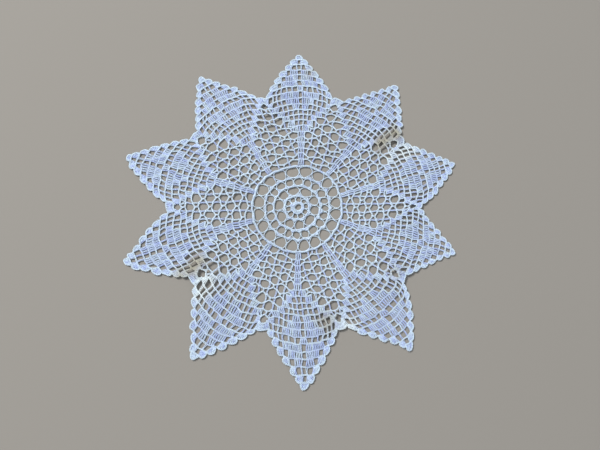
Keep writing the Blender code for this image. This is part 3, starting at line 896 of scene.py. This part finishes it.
def work_band(yarn, inner, outer):
    """A round of single crochet between two rings of gaps."""
    middle = (inner + outer) / 2
    count = round(2 * math.pi * middle / STITCH)
    for angle in np.arange(count) * 360.0 / count:
        yarn.stub(ring_point(angle, inner + BAND_INSET[0]),
                  ring_point(angle, outer - BAND_INSET[1]))
    radii = [middle]
    if outer - inner > WIDE_BAND:
        radii = [inner + BAND_CHAIN, outer - BAND_CHAIN]
    for radius in radii:
        yarn.chain([ring_point(turn, radius)
                    for turn in np.arange(BAND_POINTS) * 360.0 / BAND_POINTS], closed=True)


# ---- Materials
class Nodes:
    """Short calls for building a material's nodes."""

    def __init__(self, name):
        self.material = bpy.data.materials.new(name)
        self.material.use_nodes = True
        self.tree = self.material.node_tree
        self.surface = self.tree.nodes["Principled BSDF"]

    def add(self, kind, **values):
        """Add a node and set its sockets and properties."""
        node = self.tree.nodes.new(kind)
        for key, value in values.items():
            if key in node.inputs:
                node.inputs[key].default_value = value
            else:
                setattr(node, key, value)
        return node

    def link(self, output, socket):
        self.tree.links.new(output, socket)

    def feed(self, sockets, values):
        """Link each socket to an output, or set it to a plain value."""
        for socket, value in zip(sockets, values):
            if isinstance(value, bpy.types.NodeSocket):
                self.link(value, socket)
            else:
                socket.default_value = value

    def math(self, operation, first, second):
        """A math node on two outputs or numbers."""
        node = self.add("ShaderNodeMath", operation=operation)
        self.feed(node.inputs, (first, second))
        return node.outputs[0]

    def mix(self, share, first, second):
        """Mix two colours, each an output or plain."""
        node = self.add("ShaderNodeMix", data_type="RGBA")
        self.link(share, node.inputs["Factor"])
        self.feed(node.inputs[6:8], (first, second))
        return node.outputs[2]

    def plus(self, first, second, weight):
        """The first, and the second times its weight, added up."""
        return self.math("ADD", first, self.math("MULTIPLY", second, weight))

    def noise(self, place, scale, detail):
        """Noise over a place."""
        node = self.add("ShaderNodeTexNoise", Scale=scale, Detail=detail)
        self.link(place, node.inputs["Vector"])
        return node.outputs["Fac"]

    def ramp(self, value, low, high):
        """0 at low, 1 at high, smooth between and level beyond."""
        node = self.add("ShaderNodeMapRange", interpolation_type="SMOOTHSTEP",
                        **{"From Min": low, "From Max": high})
        self.link(value, node.inputs["Value"])
        return node.outputs["Result"]

    def coat(self, values):
        """Set values of the surface."""
        for key, value in values.items():
            self.surface.inputs[key].default_value = value


# A thread's colour in painted shade (lilac) and in painted light.
THREAD_SHADE = (0.47, 0.575, 0.91, 1.0)
THREAD_LIGHT = (0.68, 0.83, 0.96, 1.0)
# A thread goes from the first colour to the second over this range of a sum: its
# tone, soft patches (cloud) and fibres (fine), each with its weight.
SHADE_RANGE = (0.02, 0.72)
TONE_WEIGHT = 0.20
CLOUD_WEIGHT = 0.25
FINE_WEIGHT = 0.4
CLOUD_NOISE = {"scale": 55.0, "detail": 3.0}
FINE_NOISE = {"scale": 900.0, "detail": 2.0}
# Warm, darker khaki patches.
KHAKI = (0.46, 0.42, 0.28, 1.0)
# Painted highlight: thread lightened where a swell rises to the light.
PAINTED_HIGHLIGHT = (0.85, 0.96, 1.0, 1.0)
# Warm khaki patches, and painted highlights beside three of them where the swells rise to the
# light: where they are from the doily's centre, and how far they reach.
MARKS = table(("x", "y", "reach", "strength", "colour"), (
    (75.0, 58.5, 11.0, 0.8, KHAKI),
    (82.0, 65.0, 12.0, 0.95, KHAKI),
    (90.0, 71.5, 11.5, 0.9, KHAKI),
    (-97.5, -59.5, 12.0, 0.9, KHAKI),
    (-90.0, -55.0, 11.0, 0.85, KHAKI),
    (-81.5, -48.0, 12.0, 0.8, KHAKI),
    (22.0, -97.8, 14.0, 0.7, KHAKI),
    (80.6, -58.9, 10.0, 0.4, KHAKI),
    (13.5, 130.5, 10.0, 0.35, KHAKI),
    # Painted highlights, on the lit sides of the swells beside the khaki patches.
    (-77.0, -64.0, 14.0, 1.0, PAINTED_HIGHLIGHT),
    (-81.0, -74.0, 13.0, 0.95, PAINTED_HIGHLIGHT),
    (39.0, -101.5, 14.0, 0.95, PAINTED_HIGHLIGHT),
    (85.0, 48.0, 12.0, 0.9, PAINTED_HIGHLIGHT),
    (95.5, 52.0, 13.0, 0.9, PAINTED_HIGHLIGHT),
    (106.0, 56.0, 11.0, 0.75, PAINTED_HIGHLIGHT),
))
MARK_RAGGED = 12.0    # from a mark's innermost edge to its outermost
PLY_PITCH = 0.62      # of the twist of the thread
PLIES = 2.0
PLY_WEIGHT = 0.5      # of the twist in the bump, where the fibres' is 1
PLY_BUMP = {"Strength": 0.5, "Distance": 0.06 * MM}
COTTON_SURFACE = {"Roughness": 0.85, "Specular IOR Level": 0.25, "Sheen Weight": 0.2,
                  "Sheen Roughness": 0.5}


def add_mark(nodes, place, cloud, colour, mark):
    """A colour with one mark on it."""
    centre = Vector((mark["x"] - BOX_CENTRE[0], mark["y"] - BOX_CENTRE[1], 0)) * MM
    away = nodes.add("ShaderNodeVectorMath", operation="DISTANCE")
    nodes.link(place, away.inputs[0])
    away.inputs[1].default_value = centre
    ragged = nodes.plus(away.outputs["Value"], cloud, MARK_RAGGED * MM)
    half = MARK_RAGGED / 2
    within = nodes.ramp(ragged, (mark["reach"] + half) * MM, half * MM)
    return nodes.mix(nodes.math("MULTIPLY", within, mark["strength"]), colour, mark["colour"])


def add_ply(nodes, fine):
    """The twist of the thread, with its fibres, as a bump."""
    ply = nodes.add("ShaderNodeUVMap", uv_map="ply")
    axes = nodes.add("ShaderNodeSeparateXYZ")
    nodes.link(ply.outputs["UV"], axes.inputs[0])
    spiral = nodes.math("ADD", nodes.math("MULTIPLY", axes.outputs["X"], PLIES),
                        nodes.math("DIVIDE", axes.outputs["Y"], PLY_PITCH))
    groove = nodes.math("SINE", nodes.math("MULTIPLY", spiral, 2 * math.pi), 0.0)
    bump = nodes.add("ShaderNodeBump", **PLY_BUMP)
    nodes.link(nodes.plus(fine, groove, PLY_WEIGHT), bump.inputs["Height"])
    nodes.link(bump.outputs["Normal"], nodes.surface.inputs["Normal"])


def cotton():
    """Bleached, cabled cotton with a few warm khaki patches and painted highlights."""
    nodes = Nodes("cotton_thread")
    place = nodes.add("ShaderNodeTexCoord").outputs["Object"]
    cloud = nodes.noise(place, **CLOUD_NOISE)
    fine = nodes.noise(place, **FINE_NOISE)
    tone = nodes.add("ShaderNodeAttribute", attribute_name="tone").outputs["Fac"]
    shade = nodes.math("MULTIPLY", tone, TONE_WEIGHT)
    shade = nodes.plus(shade, cloud, CLOUD_WEIGHT)
    shade = nodes.plus(shade, fine, FINE_WEIGHT)
    colour = nodes.mix(nodes.ramp(shade, *SHADE_RANGE), THREAD_SHADE, THREAD_LIGHT)
    for mark in MARKS:
        colour = add_mark(nodes, place, cloud, colour, mark)
    nodes.link(colour, nodes.surface.inputs["Base Color"])
    add_ply(nodes, fine)
    nodes.coat(COTTON_SURFACE)
    return nodes.material


def add_object(name, data):
    """An object in the scene."""
    added = bpy.data.objects.new(name, data)
    bpy.context.scene.collection.objects.link(added)
    return added


def add_piece(name, yarn, warp, material):
    """One piece of the doily in thread."""
    data = thread_mesh(name, yarn, warp)
    data.materials.append(material)
    piece = add_object(name, data)
    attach(piece, "root")
    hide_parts("doily")


def work_doily():
    """The centre, and ten petals each with its spoke and the net beside it."""
    warp = Warp(control_points())
    material = cotton()
    yarn = Yarn(seed=SECTORS)
    work_centre(yarn)
    add_piece("centre", yarn, warp, material)
    for sector in range(SECTORS):
        yarn = Yarn(seed=sector)
        work_spoke(yarn, sector)
        work_petal(yarn, sector)
        work_net(yarn, sector)
        add_piece(f"petal_{sector + 1:02d}", yarn, warp, material)


# ---- Floor, light and camera
# In metres.
FLOOR_SIZE = 6.0
FLOOR_DROP = 0.0002   # how far the floor lies below the doily
FLOOR_SURFACE = {"Base Color": (0.31, 0.295, 0.27, 1.0), "Roughness": 0.9,
                 "Specular IOR Level": 0.1}
WORLD_COLOUR = (0.93, 0.96, 1.0, 1.0)
WORLD_STRENGTH = 0.36
LIGHTS = table(("name", "place", "size", "power", "colour"), (
    ("key", (-2.2, 1.9, 2.7), 1.1, 170.0, (1.0, 0.98, 0.96)),
    ("fill", (1.9, -1.0, 2.0), 2.2, 12.0, (0.94, 0.97, 1.0)),
))
CAMERA_PLACE = Vector((-0.0423, -0.1216, 0.4160))
CAMERA_TARGET = Vector((0.0025, -0.0147, 0.0))
CAMERA_ROLL = 1.17    # degrees clockwise
CAMERA_LENS = 30.0    # mm, as is the sensor's width
CAMERA_SENSOR = 36.0


def add_floor():
    """Plain pale floor under the doily."""
    half = FLOOR_SIZE / 2
    data = bpy.data.meshes.new("floor")
    data.from_pydata([(-half, -half, 0), (half, -half, 0), (half, half, 0), (-half, half, 0)],
                     [], [(0, 1, 2, 3)])
    nodes = Nodes("pale_floor")
    nodes.coat(FLOOR_SURFACE)
    data.materials.append(nodes.material)
    floor = add_object("floor", data)
    floor.location.z = -FLOOR_DROP


def add_light(name, place, size, power, colour):
    """Area light that faces the doily."""
    light = bpy.data.lights.new(name, "AREA")
    light.size = size
    light.energy = power
    light.color = colour
    lamp = add_object(name, light)
    lamp.location = place
    lamp.rotation_euler = (-Vector(place)).to_track_quat("-Z", "Y").to_euler()


def add_world():
    """Soft light from all round."""
    world = bpy.data.worlds.new("studio")
    world.use_nodes = True
    background = world.node_tree.nodes["Background"]
    background.inputs["Color"].default_value = WORLD_COLOUR
    background.inputs["Strength"].default_value = WORLD_STRENGTH
    bpy.context.scene.world = world
    bpy.context.scene.view_settings.view_transform = "Standard"


def add_camera():
    """The camera, where the doily was seen from."""
    camera = add_object("camera", bpy.data.cameras.new("camera"))
    camera.data.sensor_width = CAMERA_SENSOR
    camera.data.lens = CAMERA_LENS
    forward = (CAMERA_TARGET - CAMERA_PLACE).normalized()
    right = forward.cross(Vector((0.0, 1.0, 0.0))).normalized()
    up = right.cross(forward)
    turn = Matrix((right, up, -forward)).transposed().to_4x4()
    roll = Matrix.Rotation(math.radians(-CAMERA_ROLL), 4, "Z")
    camera.matrix_world = Matrix.Translation(CAMERA_PLACE) @ turn @ roll
    bpy.context.scene.camera = camera


add_floor()
add_world()
for lamp_row in LIGHTS:
    add_light(**lamp_row)
add_camera()
work_doily()
